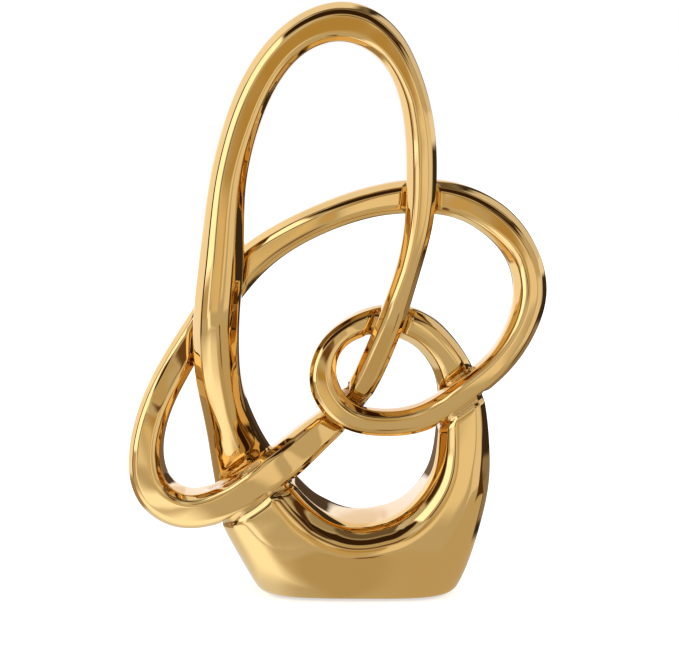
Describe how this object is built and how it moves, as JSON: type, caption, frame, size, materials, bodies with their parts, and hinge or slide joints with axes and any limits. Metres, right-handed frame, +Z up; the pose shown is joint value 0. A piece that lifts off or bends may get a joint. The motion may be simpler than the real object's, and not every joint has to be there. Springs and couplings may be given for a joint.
{
  "type": "abstract knot sculpture",
  "caption": "Upright abstract sculpture of one gold-glazed ceramic ribbon that loops, crosses itself and closes, standing on a flat foot with felt dots.",
  "frame": {"origin": "on the surface it stands on, below the middle of the bounding box", "axes": "+Z up, the front of the sculpture faces -Y, +X to the right seen from the front"},
  "size_m": [0.1979, 0.061, 0.2799],
  "materials": {
    "gold_glaze_cradle": "polished gold lustre glaze on stoneware, bare clay on the ground foot",
    "gold_glaze_tall_loop": "polished gold lustre glaze",
    "gold_glaze_left_ribbon": "polished gold lustre glaze",
    "gold_glaze_arch": "polished gold lustre glaze",
    "gold_glaze_right_loop": "polished gold lustre glaze",
    "gold_glaze_bridge": "polished gold lustre glaze",
    "felt": "dark pressed felt"
  },
  "bodies": {
    "root": {"cradle": "gold_glaze_cradle", "tall_loop": "gold_glaze_tall_loop", "left_ribbon": "gold_glaze_left_ribbon", "arch": "gold_glaze_arch", "right_loop": "gold_glaze_right_loop", "bridge": "gold_glaze_bridge", "felt_dot_front_left": "felt", "felt_dot_front_right": "felt", "felt_dot_back_left": "felt", "felt_dot_back_right": "felt"}
  },
  "joints": []
}
